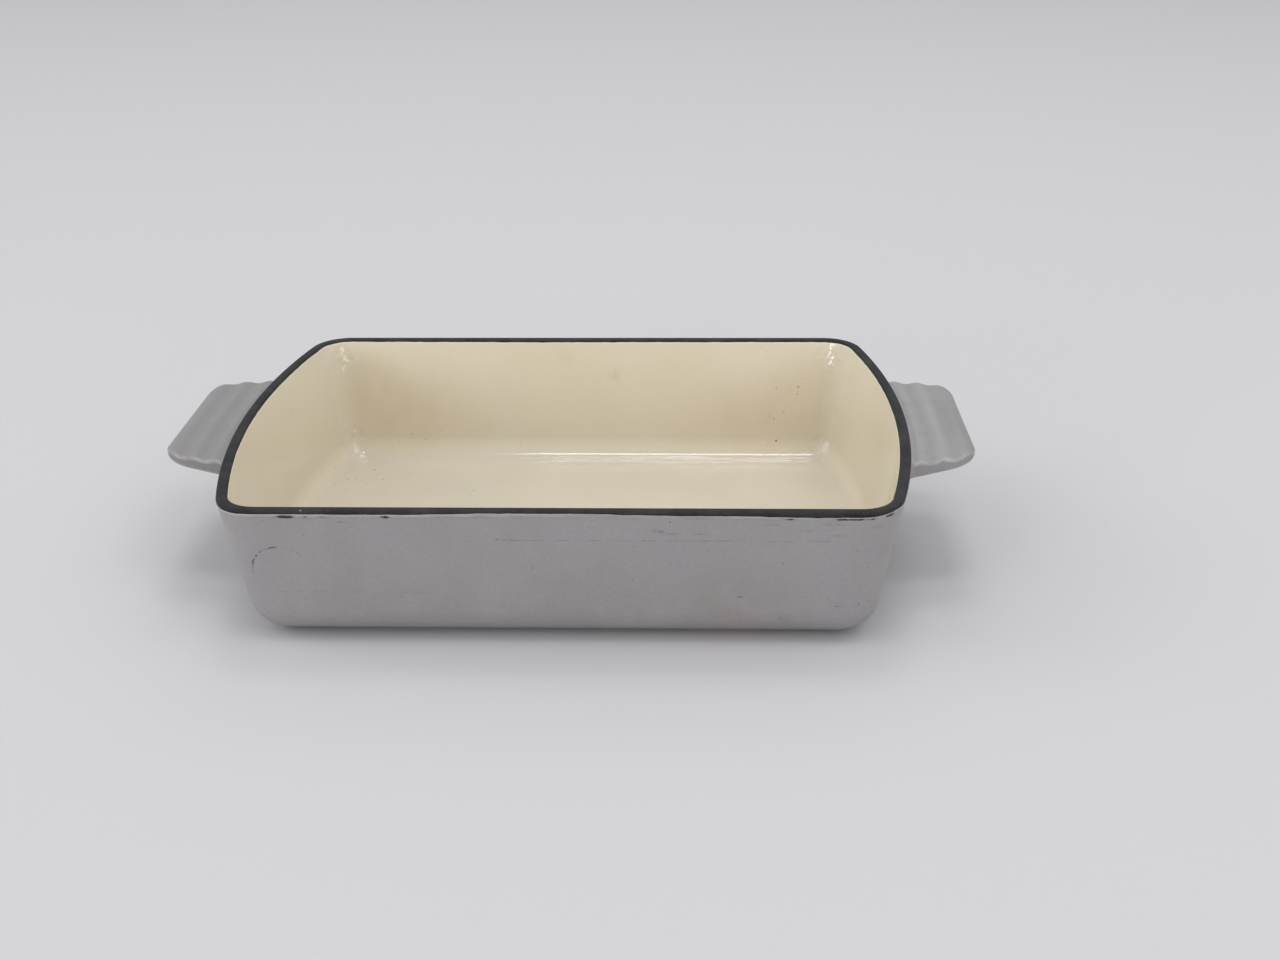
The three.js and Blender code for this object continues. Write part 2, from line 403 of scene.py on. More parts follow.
def outside_levels(pan, shape, top_z, lip_height):
    """Levels of the tub's outside, and the rows between which a handle leaves it."""
    wall_rows, root_rows = 10, 9
    lip_shares = np.array([1, 0.8, 0.5, 0.2, 0])
    fillet = pan.foot_levels(count=20)
    below = shape.underside - ROOT_OUTSIDE
    wall = np.linspace(fillet[-1].z, below[0], wall_rows)[1:-1]
    root = np.linspace(shape.underside, shape.top, root_rows)
    above = top_z - lip_height * lip_shares
    heights = np.concatenate([wall, below, root, above])
    first = len(fillet) + len(wall) + len(below)
    levels = fillet + [pan.level(pan.outer_inset(z), z) for z in heights]
    return levels, first, first + len(root) - 1


def outside_surface(pan, shape, top_z, lip_height):
    """The tub's outside with a hole at each end, and a tab drawn out of each hole."""
    half_root = shape.handle.root_width / 2
    root_ys = root_places(half_root)
    handle_ys = np.concatenate([root_ys, half_root + ROOT_OUTSIDE[::-1]])
    columns = Columns(handle=handle_ys, end=steps(10), corner=steps(20), side=steps(65))
    levels, first, last = outside_levels(pan, shape, top_z, lip_height)
    rings = [pan.ring(level, columns) for level in levels]
    count = len(rings[0])
    vertices = np.vstack(rings)
    reach = len(root_ys) - 1
    holes = [[(middle + step) % count for step in range(-reach, reach + 1)] for middle in (0, count // 2)]
    rows = range(first, last)
    dropped = {row * count + column for hole in holes for column in hole[:-1] for row in rows}
    faces = [face for index, face in enumerate(loft_faces(len(rings), count)) if index not in dropped]
    shares = np.concatenate([-root_ys[:0:-1], root_ys]) / half_root
    for hole, turn in zip(holes, (1, -1)):
        grid = np.array([[row * count + column for row in range(first, last + 1)] for column in hole])
        tab, tab_faces = tab_surface(shape, shares, grid, len(vertices))
        vertices = np.vstack([vertices, tab * (turn, turn, 1)])
        faces += tab_faces
    margin = 2 * ROOT_OUTSIDE[0]
    near = np.abs(vertices[:, 0]) > shape.end_x - pan.sizes.end_bow
    near &= np.abs(vertices[:, 1]) < half_root + margin
    near &= vertices[:, 2] > shape.underside - margin
    turned = np.sign(vertices[near, :1]) * (1, 1, 0) + (0, 0, 1)
    vertices[near] = shape.drawn_on(vertices[near] * turned) * turned
    return without_loose(vertices, faces)


def tab_surface(shape, shares, grid, offset):
    """One tab: loops round its section from the hole in the wall to the tip, and a grid over the tip."""
    handle = shape.handle
    wide, tall = grid.shape[0] - 1, grid.shape[1] - 1
    border = [(k, 0) for k in range(wide)] + [(wide, k) for k in range(tall)]
    border += [(wide - k, tall) for k in range(wide)] + [(0, tall - k) for k in range(tall)]
    straight_rows, corner_rows = 18, 16
    straight = handle.reach - handle.tip_corner
    distances = np.concatenate([
        ROOT_ALONG[:-1],
        np.linspace(ROOT_ALONG[-1], straight, straight_rows),
        straight + handle.tip_corner * np.sin(steps(corner_rows) * math.pi / 2),
    ])
    across = np.linspace(0, 1, tall + 1)
    vertices, faces = [], []
    loop = [grid[place] for place in border]
    for distance in distances:
        section = shape.section(distance, shares, across)
        ahead = list(range(offset + len(vertices), offset + len(vertices) + len(border)))
        vertices += [section[place] for place in border]
        for k in range(len(border)):
            after = (k + 1) % len(border)
            faces.append((loop[k], loop[after], ahead[after], ahead[k]))
        loop = ahead
    tip = dict(zip(border, loop))
    for place in np.ndindex(wide + 1, tall + 1):
        if place not in tip:
            tip[place] = offset + len(vertices)
            vertices.append(section[place])
    for column, row in np.ndindex(wide, tall):
        square = ((column, row), (column + 1, row), (column + 1, row + 1), (column, row + 1))
        faces.append(tuple(tip[place] for place in square))
    return np.array(vertices), faces


def without_loose(vertices, faces):
    """Drops the points that no face uses."""
    used = sorted({corner for face in faces for corner in face})
    index = {old: new for new, old in enumerate(used)}
    return vertices[used], [tuple(index[corner] for corner in face) for face in faces]


# Marks on the finished pan, as places in millimetres: left by use, and painted light and shade

Mark = namedtuple("Mark", "x y z reach strength")

GRIME = (
    Mark(73, -92, 14, 34, 0.9),
    Mark(10, -92, 8, 45, 0.5),
    Mark(-60, -93, 10, 40, 0.4),
    Mark(130, -60, 12, 30, 0.4),
    Mark(-132, 10, 12, 40, 0.5),
    Mark(20, 93, 14, 45, 0.6),
    Mark(174, 2, 62, 11, 1.4),
    Mark(-162, -45, 59, 16, 0.7),
)
CHIPS = (
    Mark(-107, -102.5, 62.2, 5, 1.15),
    Mark(-99, -102.5, 62.2, 3, 0.7),
    Mark(-92, -102.5, 62.2, 3, 0.6),
    Mark(-67, -102.5, 62.2, 3, 0.95),
    Mark(-30, -102.5, 62.2, 5, 0.5),
    Mark(57, -102.5, 62.2, 4, 0.6),
    Mark(92, -102.5, 62.2, 5, 0.7),
    Mark(112, -102.5, 62.6, 5, 0.95),
    Mark(119, -102.5, 62.6, 4, 0.95),
    Mark(124, -101.5, 62.6, 2.5, 0.8),
    Mark(131, -99, 62.4, 4, 0.9),
    Mark(40, 102.5, 62.2, 7, 0.7),
    Mark(-75, 102.5, 62.2, 5, 0.9),
    Mark(146, 60, 62.2, 4, 0.6),
)

# Where the grey's lip swells, and where it is painted pale as a highlight
LIP_SWELL_AND_HIGHLIGHT = (
    Mark(-140, -92, 63, 26, 0.9),
    Mark(-104, -102, 63, 30, 0.4),
    Mark(-58, -102, 63, 26, 0.4),
    Mark(-20, -102, 63, 30, 0.3),
    Mark(78, -102, 63, 12, 0.3),
    Mark(140, -88, 63, 16, 0.5),
    Mark(148, 30, 63, 60, 0.4),
    Mark(-148, 10, 63, 60, 0.4),
    Mark(-30, 102, 63, 70, 0.4),
    Mark(90, 102, 63, 40, 0.6),
)

# How many millimetres the grey's edge was wiped down
WIPED = (
    Mark(-15, -102.5, 63.5, 42, -0.7),
    Mark(22, -102.5, 63.5, 24, -0.3),
    Mark(106, -102.5, 63.5, 28, 0.6),
    Mark(-142, -90, 63.5, 24, 0.9),
    Mark(142, -84, 63.5, 24, -0.4),
    Mark(30, 102.5, 63.5, 50, -0.5),
    Mark(-90, 102.5, 63.5, 40, 0.4),
)

# Painted shade on the handles, heaviest on the left one and at the right one's tip
HANDLE_SHADE = (
    Mark(-165, 0, 62, 62, 2.0),
    Mark(165, 0, 62, 62, 0.3),
    Mark(180, 0, 62, 18, 1.0),
)

# Where the lining has yellowed, with painted shade in its back corners, and where specks have baked onto
# it
YELLOWING_AND_CORNER_SHADE = (
    Mark(-114, 94, 50, 20, 0.2),
    Mark(-109, 92, 38, 26, 0.2),
    Mark(-102, 91, 26, 32, 0.24),
    Mark(-80, 90, 18, 34, 0.2),
    Mark(112, 94, 48, 18, 0.12),
    Mark(108, 92, 34, 26, 0.13),
    Mark(96, 91, 24, 32, 0.24),
    Mark(70, 90, 18, 34, 0.2),
    Mark(-11, 96, 57, 6, 0.2),
    Mark(13, 95, 46.5, 3, 0.5),
    Mark(15.5, 95, 48.3, 3, 0.6),
)
SPECKLING = (
    Mark(-112, 58, 5, 26, 0.7),
    Mark(-48, 44, 5, 12, 0.7),
    Mark(98, 90, 19, 10, 1.0),
    Mark(93, 96, 57, 9, 1.0),
    Mark(106, 92, 40, 16, 0.5),
    Mark(-86, 88, 11, 14, 0.7),
)

# Where the cream glaze sagged into waves
SAGGED = (
    Mark(-125, 95, 57, 13, 1.0),
    Mark(-121, 89, 17, 10, 1.0),
    Mark(124, 95, 57, 13, 1.0),
    Mark(121, 88, 15, 9, 1.0),
    Mark(-125, -95, 57, 13, 1.0),
    Mark(124, -95, 57, 13, 1.0),
)

# Smudges on the front wall
Smudge = namedtuple("Smudge", "x z length height")
SCUFFS = (
    Smudge(39, 56, 9, 2),
    Smudge(-22, 52, 7, 1),
    Smudge(119, 47, 1.6, 3),
    Smudge(73, 24, 4, 1),
    Smudge(121, 22, 0.9, 7),
    Smudge(113, 19.5, 5, 1),
    Smudge(60, 47, 2, 1.2),
    Smudge(-85, 60, 6, 0.8),
)
STAINS = (
    Smudge(98, 56.7, 8, 2),
    Smudge(111, 54.5, 12, 1.6),
    Smudge(85, 59.5, 9, 1.2),
    Smudge(108, 59.8, 12, 1.6),
    Smudge(126, 58, 7, 1.6),
)


def mark_strength(vertices, marks, flattened=1):
    """How strongly each point is marked: strongest in the middle of a mark, none beyond its reach.

    A gap along Y counts as many times as the marks are flattened.
    """
    strengths = np.zeros(len(vertices))
    for mark in marks:
        gaps = (vertices - np.array(mark[:3]) * MM) * (1, flattened, 1)
        away = np.linalg.norm(gaps, axis=1) / (mark.reach * MM)
        strengths += mark.strength * np.clip(1 - away ** 2, 0, 1)
    return strengths


def outside_marks(vertices, pan, shape, top_z, lip_height):
    """Numbers that the outside's points keep: how far below the coat's edge they lie, and their marks."""
    plain_lip = 0.12
    x, y, z = vertices.T
    out = shape.along(np.abs(x), y)
    below_edge = np.where(out < 0, top_z - z, pan.sizes.height)

    # In lip heights: the lip's rounded section, and the wandering that fades out half a height past it
    lips_below = below_edge / lip_height
    swell = np.interp(lips_below, [0, 0.2, 0.8, 1], [0.4, 1, 1, 0])
    return {
        "below_edge": below_edge,
        "edge": np.clip(1.5 - lips_below, 0, 1),
        "lip": swell * (plain_lip + mark_strength(vertices, LIP_SWELL_AND_HIGHLIGHT)),
        "wiped": mark_strength(vertices, WIPED) * MM,
        "handle": np.clip(out / shape.handle.top_fillet, 0, 1),
        "handle_shade": mark_strength(vertices, HANDLE_SHADE, flattened=0.25),
        "grime": mark_strength(vertices, GRIME),
        "chips": mark_strength(vertices, CHIPS),
    }


# Making pieces


def add(tree, kind, inputs=None, output=0, **settings):
    """Adds a node with its settings, each input linked to a socket or set to a value, for one output."""
    node = tree.nodes.new(kind)
    for name, value in settings.items():
        setattr(node, name, value)
    for name, value in (inputs or {}).items():
        if isinstance(value, bpy.types.NodeSocket):
            tree.links.new(value, node.inputs[name])
        else:
            node.inputs[name].default_value = value
    return node.outputs[output]


def mesh_object(name, vertices, faces, edges=()):
    """A smooth mesh at the origin."""
    mesh = bpy.data.meshes.new(name)
    mesh.from_pydata([tuple(v) for v in vertices], edges, faces)
    mesh.polygons.foreach_set("use_smooth", [True] * len(mesh.polygons))
    piece = bpy.data.objects.new(name, mesh)
    bpy.context.scene.collection.objects.link(piece)
    return piece


def store(piece, name, values):
    """Keeps one number per point for the trees and materials to read."""
    attribute = piece.data.attributes.new(name, "FLOAT", "POINT")
    attribute.data.foreach_set("value", np.asarray(values, np.float32))


def store_bend(piece):
    """Keeps how sharply the surface bends, per metre: above 0 along an edge, below 0 in a groove."""
    mesh = piece.data
    places = np.empty(len(mesh.vertices) * 3)
    normals = np.empty(len(mesh.vertices) * 3)
    ends = np.empty(len(mesh.edges) * 2, int)
    mesh.vertices.foreach_get("co", places)
    mesh.vertices.foreach_get("normal", normals)
    mesh.edges.foreach_get("vertices", ends)
    both_ways = np.vstack([ends.reshape(-1, 2), ends.reshape(-1, 2)[:, ::-1]])
    runs = np.diff(places.reshape(-1, 3)[both_ways], axis=1)[:, 0]
    falls = -(normals.reshape(-1, 3)[both_ways[:, 0]] * runs).sum(axis=1)
    bends = 2 * falls / (runs ** 2).sum(axis=1)
    total = np.bincount(both_ways[:, 0], bends, len(mesh.vertices))
    store(piece, "bend", total / np.bincount(both_ways[:, 0], minlength=len(mesh.vertices)))


def dress(piece, node):
    """The piece stands for a CAD node, on the pan's only body."""
    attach(piece, BODY)
    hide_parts(node)


def thicken(piece, thickness):
    """Gives an enamel coat its thickness, on the side of the iron."""
    shell = piece.modifiers.new("Coat thickness", "SOLIDIFY")
    shell.thickness = thickness
    shell.offset = -1


def new_tree(name, lengths, others):
    """A Geometry Nodes tree with named inputs, the last its material: the tree, its inputs and output."""
    tree = bpy.data.node_groups.new(name, "GeometryNodeTree")
    tree.interface.new_socket("Geometry", in_out="INPUT", socket_type="NodeSocketGeometry")
    for label in lengths:
        socket = tree.interface.new_socket(label, in_out="INPUT", socket_type="NodeSocketFloat")
        socket.subtype = "DISTANCE"
    for label, kind in (*others, ("Material", "NodeSocketMaterial")):
        tree.interface.new_socket(label, in_out="INPUT", socket_type=kind)
    tree.interface.new_socket("Geometry", in_out="OUTPUT", socket_type="NodeSocketGeometry")
    return tree, tree.nodes.new("NodeGroupInput").outputs, tree.nodes.new("NodeGroupOutput").inputs


def finish_tree(tree, given, geometry, result):
    """Ends a tree in one real mesh with its material."""
    whole = add(tree, "GeometryNodeRealizeInstances", {"Geometry": geometry})
    coated = add(tree, "GeometryNodeSetMaterial", {"Geometry": whole, "Material": given["Material"]})
    tree.links.new(coated, result["Geometry"])
    return tree


def grow(piece, tree, values):
    """Runs a Geometry Nodes tree on a piece and keeps the result as its plain mesh."""
    modifier = piece.modifiers.new(tree.name, "NODES")
    modifier.node_group = tree
    for item in tree.interface.items_tree:
        if item.in_out == "INPUT" and item.name in values:
            modifier[item.identifier] = values[item.name]
    evaluated = piece.evaluated_get(bpy.context.evaluated_depsgraph_get())
    mesh = bpy.data.meshes.new_from_object(evaluated)
    plain = piece.data
    piece.modifiers.remove(modifier)
    piece.data = mesh
    bpy.data.meshes.remove(plain)
    mesh.name = piece.name


# Geometry Nodes trees


def handle_rib_tree():
    """Presses ribs into both handles' tops, bowed like the tub's end and straighter towards the tip."""
    tub = ("Rim end", "End radius")
    tab = ("Reach", "Top", "Rise", "Thickness", "Fillet")
    ribs = ("Pitch", "Depth", "First rib")
    tree, given, result = new_tree("Handle ribs", tub + tab + ribs, [("Ribs", "NodeSocketInt")])
    place = add(tree, "ShaderNodeSeparateXYZ", {0: add(tree, "GeometryNodeInputPosition")}).node.outputs
    squared = add(tree, MATH, {0: place["Y"], 1: place["Y"]}, operation="MULTIPLY")
    across = add(tree, MATH, {0: given["End radius"], 1: 2.0}, operation="MULTIPLY")
    sag = add(tree, MATH, {0: squared, 1: across}, operation="DIVIDE")
    from_middle = add(tree, MATH, {0: place["X"]}, operation="ABSOLUTE")
    past_end = add(tree, MATH, {0: from_middle, 1: given["Rim end"]}, operation="SUBTRACT")
    bowed = add(tree, MATH, {0: past_end, 1: sag}, operation="ADD")
    straighten = add(tree, MATH, {0: sag, 1: given["Reach"]}, operation="DIVIDE")
    straighten = add(tree, MATH, {0: straighten, 1: 1.0}, operation="ADD")
    out = add(tree, MATH, {0: bowed, 1: straighten}, operation="DIVIDE")

    # Grooves between the crests, and one more half groove that runs out to the tip
    past_first = add(tree, MATH, {0: out, 1: given["First rib"]}, operation="SUBTRACT")
    turns = add(tree, MATH, {0: past_first, 1: given["Pitch"]}, operation="DIVIDE")
    last_turn = add(tree, MATH, {0: given["Ribs"], 1: 0.5}, operation="SUBTRACT")
    turns = add(tree, MATH, {0: turns, 1: last_turn}, operation="MINIMUM")
    angle = add(tree, MATH, {0: turns, 1: math.tau}, operation="MULTIPLY")
    wave = add(tree, MATH, {0: angle}, operation="COSINE")
    groove = add(tree, MATH, {0: wave, 1: -0.5, 2: 0.5}, operation="MULTIPLY_ADD")

    # Only the upper half of the handle, clear of the fillet at the wall, gives way
    share = add(tree, MATH, {0: out, 1: given["Reach"]}, operation="DIVIDE")
    crest = add(tree, MATH, {0: share, 1: given["Rise"], 2: given["Top"]}, operation="MULTIPLY_ADD")
    below = add(tree, MATH, {0: crest, 1: place["Z"]}, operation="SUBTRACT")
    below = add(tree, MATH, {0: below, 1: given["Thickness"]}, operation="DIVIDE")
    upper = {"Value": below, "From Min": 0.55, "From Max": 0.1}
    upper = add(tree, MAP_RANGE, upper, interpolation_type="SMOOTHSTEP")
    clear = {"Value": out, "From Max": given["Fillet"]}
    clear = add(tree, MAP_RANGE, clear, interpolation_type="SMOOTHSTEP")
    groove = add(tree, MATH, {0: groove, 1: upper}, operation="MULTIPLY")
    groove = add(tree, MATH, {0: groove, 1: clear}, operation="MULTIPLY")
    dip = add(tree, MATH, {0: groove, 1: given["Depth"]}, operation="MULTIPLY")
    down = add(tree, MATH, {0: dip, 1: -1.0}, operation="MULTIPLY")
    move = add(tree, "ShaderNodeCombineXYZ", {"Z": down})
    marked = {"Geometry": given["Geometry"], "Name": "groove", "Value": groove}
    marked = add(tree, "GeometryNodeStoreNamedAttribute", marked)
    pressed = add(tree, "GeometryNodeSetPosition", {"Geometry": marked, "Offset": move})
    return finish_tree(tree, given, pressed, result)


def fired_coat_tree():
    """Lets a coat's wiped edge wander up and down the wall, and ripples its surface."""
    lengths = ("Swing", "Swing length", "Rag", "Rag length", "Ripple", "Ripple length", "Lip")
    others = [("Lean", "NodeSocketFloat"), ("Seed", "NodeSocketInt")]
    tree, given, result = new_tree("Fired coat", lengths, others)
    position = add(tree, "GeometryNodeInputPosition")
    normal = add(tree, "GeometryNodeInputNormal")
    heights = {}
    for label in ("Swing", "Rag", "Ripple"):
        scale = add(tree, MATH, {0: 1.0, 1: given[f"{label} length"]}, operation="DIVIDE")
        field = {"Vector": position, "W": given["Seed"], "Scale": scale, "Detail": 1.0}
        field = add(tree, NOISE, field, noise_dimensions="4D")
        centred = add(tree, MATH, {0: field, 1: 0.5}, operation="SUBTRACT")
        heights[label] = add(tree, MATH, {0: centred, 1: given[label]}, operation="MULTIPLY")
    kept = {}
    for name in ("edge", "wiped", "lip"):
        kept[name] = add(tree, "GeometryNodeInputNamedAttribute", {"Name": name}, output="Attribute")

    # The edge moves along the leaning wall
    wander = add(tree, MATH, {0: heights["Swing"], 1: heights["Rag"]}, operation="ADD")
    wander = add(tree, MATH, {0: wander, 1: kept["wiped"]}, operation="SUBTRACT")
    wander = add(tree, MATH, {0: wander, 1: kept["edge"]}, operation="MULTIPLY")
    level_normal = add(tree, VECTOR_MATH, {0: normal, 1: (1, 1, 0)}, operation="MULTIPLY")
    outward = add(tree, VECTOR_MATH, {0: level_normal}, operation="NORMALIZE")
    leaning = add(tree, VECTOR_MATH, {0: outward, "Scale": given["Lean"]}, operation="SCALE")
    uphill = add(tree, VECTOR_MATH, {0: leaning, 1: (0, 0, 1)}, operation="ADD")
    wander = add(tree, VECTOR_MATH, {0: uphill, "Scale": wander}, operation="SCALE")

    # The surface swells along the lip and ripples everywhere
    swell = {0: kept["lip"], 1: given["Lip"], 2: heights["Ripple"]}
    swell = add(tree, MATH, swell, operation="MULTIPLY_ADD")
    swell = add(tree, VECTOR_MATH, {0: normal, "Scale": swell}, operation="SCALE")
    move = add(tree, VECTOR_MATH, {0: wander, 1: swell}, operation="ADD")
    fired = add(tree, "GeometryNodeSetPosition", {"Geometry": given["Geometry"], "Offset": move})
    return finish_tree(tree, given, fired, result)


def rim_band_tree():
    """Sweeps the rim's section, a leaning strip with two rounded upper edges, along its middle line."""
    lengths = ("Width", "Depth", "Shift", "Edge radius")
    tree, given, result = new_tree("Rim band", lengths, [("Edge points", "NodeSocketInt")])
    strip = {"Width": given["Width"], "Height": given["Depth"], "Offset": given["Shift"]}
    strip = add(tree, "GeometryNodeCurvePrimitiveQuadrilateral", strip, mode="PARALLELOGRAM")

    # The section's third and fourth corners are its upper ones
    corner = add(tree, "GeometryNodeInputIndex")
    is_upper = add(tree, MATH, {0: corner, 1: 1.5}, operation="GREATER_THAN")
    radius = add(tree, MATH, {0: is_upper, 1: given["Edge radius"]}, operation="MULTIPLY")
    section = {"Curve": strip, "Radius": radius, "Count": given["Edge points"]}
    section = add(tree, "GeometryNodeFilletCurve", section, mode="POLY")
    path = add(tree, "GeometryNodeMeshToCurve", {"Mesh": given["Geometry"]})
    path = add(tree, "GeometryNodeSetCurveNormal", {"Curve": path}, mode="Z_UP")
    swept = add(tree, "GeometryNodeCurveToMesh", {"Curve": path, "Profile Curve": section})
    smooth = add(tree, "GeometryNodeSetShadeSmooth", {"Geometry": swept})
    return finish_tree(tree, given, smooth, result)


# Materials


def new_material(name):
    """A material with its Principled shader, and its tree."""
    material = bpy.data.materials.new(name)
    material.use_nodes = True
    return material, material.node_tree, material.node_tree.nodes["Principled BSDF"].inputs


def per_mm(millimetres):
    """Texture scale at which one cell of a pattern has this size."""
    return 1 / (millimetres * MM)


def layered(tree, colour, layers):
    """Lays colours over each other, each where all of its own shares meet."""
    for over, share, *others in layers:
        for other in others:
            share = add(tree, MATH, {0: share, 1: other}, operation="MULTIPLY")
        inputs = {0: share, 6: colour, 7: opaque(over)}
        colour = add(tree, "ShaderNodeMix", inputs, output=2, data_type="RGBA")
    return colour


def cloud(tree, place, millimetres, low, high, strength, detail=2.0):
    """Share of soft patches of this size: none at the low level of a noise, full at the high one."""
    noise = add(tree, NOISE, {"Vector": place, "Scale": per_mm(millimetres), "Detail": detail})
    share = {"Value": noise, "From Min": low, "From Max": high, "To Max": strength}
    return add(tree, MAP_RANGE, share)


def specks(tree, place, spacing, radius, strength):
    """Share of scattered specks, no two of a size. Spacing and radius are in millimetres."""
    cells = add(tree, "ShaderNodeTexVoronoi", {"Vector": place, "Scale": per_mm(spacing)}).node.outputs
    own_size = add(tree, "ShaderNodeSeparateColor", {0: cells["Color"]})
    edge = add(tree, MATH, {0: own_size, 1: radius / spacing}, operation="MULTIPLY")
    inner = add(tree, MATH, {0: edge, 1: 0.5}, operation="MULTIPLY")
    fade = {"Value": cells["Distance"], "From Min": edge, "From Max": inner, "To Max": strength}
    return add(tree, MAP_RANGE, fade)


def front_half(tree, place):
    """A place's three axes, and the share that keeps a mark on the front wall off the back one."""
    axes = add(tree, "ShaderNodeSeparateXYZ", {0: place}).node.outputs
    return axes, add(tree, MATH, {0: axes["Y"], 1: 0.0}, operation="LESS_THAN")


def rubbed_line(tree, place, z, x_from, x_to):
    """Shares that meet in a broken level line on the front wall. Places are in millimetres."""
    half_line = 0.22 * MM
    middle, half_span = (x_from + x_to) / 2 * MM, (x_to - x_from) / 2 * MM
    axes, in_front = front_half(tree, place)
    on_level = add(tree, MATH, {0: axes["Z"], 1: z * MM, 2: half_line}, operation="COMPARE")
    in_span = add(tree, MATH, {0: axes["X"], 1: middle, 2: half_span}, operation="COMPARE")
    broken = cloud(tree, place, 5, low=0.42, high=0.65, strength=0.6, detail=4.0)
    return on_level, in_span, in_front, broken


def dotted_arc(tree, place, x, z, radius):
    """Shares that meet in a dotted ring on the front wall, heavier at its upper left, in millimetres."""
    half_line = 0.4 * MM
    flat = add(tree, VECTOR_MATH, {0: place, 1: (1, 0, 1)}, operation="MULTIPLY")
    centre = (x * MM, 0, z * MM)
    away = add(tree, VECTOR_MATH, {0: flat, 1: centre}, output="Value", operation="DISTANCE")
    on_ring = add(tree, MATH, {0: away, 1: radius * MM, 2: half_line}, operation="COMPARE")
    axes, in_front = front_half(tree, place)
    left = {"Value": axes["X"], "From Min": (x + radius) * MM, "From Max": (x - radius / 3) * MM}
    left = add(tree, MAP_RANGE, left)
    upper = {"Value": axes["Z"], "From Min": (z - radius / 2) * MM, "From Max": (z + radius / 3) * MM}
    upper = add(tree, MAP_RANGE, upper)
    dots = cloud(tree, place, 1.6, low=0.47, high=0.56, strength=1.0)
    return on_ring, in_front, left, upper, dots


def smudged(tree, place, smudges):
    """Shares that meet in broken smudges on the front wall."""
    total = 0.0
    for smudge in smudges:
        centre = (smudge.x * MM, 0, smudge.z * MM)
        shrink = (2 * per_mm(smudge.length), 0, 2 * per_mm(smudge.height))
        off = add(tree, VECTOR_MATH, {0: place, 1: centre}, operation="SUBTRACT")
        off = add(tree, VECTOR_MATH, {0: off, 1: shrink}, operation="MULTIPLY")
        off = add(tree, VECTOR_MATH, {0: off}, output="Value", operation="LENGTH")
        near = add(tree, MAP_RANGE, {"Value": off, "From Min": 1.0, "From Max": 0.4})
        total = add(tree, MATH, {0: near, 1: total}, operation="MAXIMUM")
    in_front = front_half(tree, place)[1]
    broken = cloud(tree, place, 2.5, low=0.4, high=0.6, strength=0.65, detail=4.0)
    return total, in_front, broken


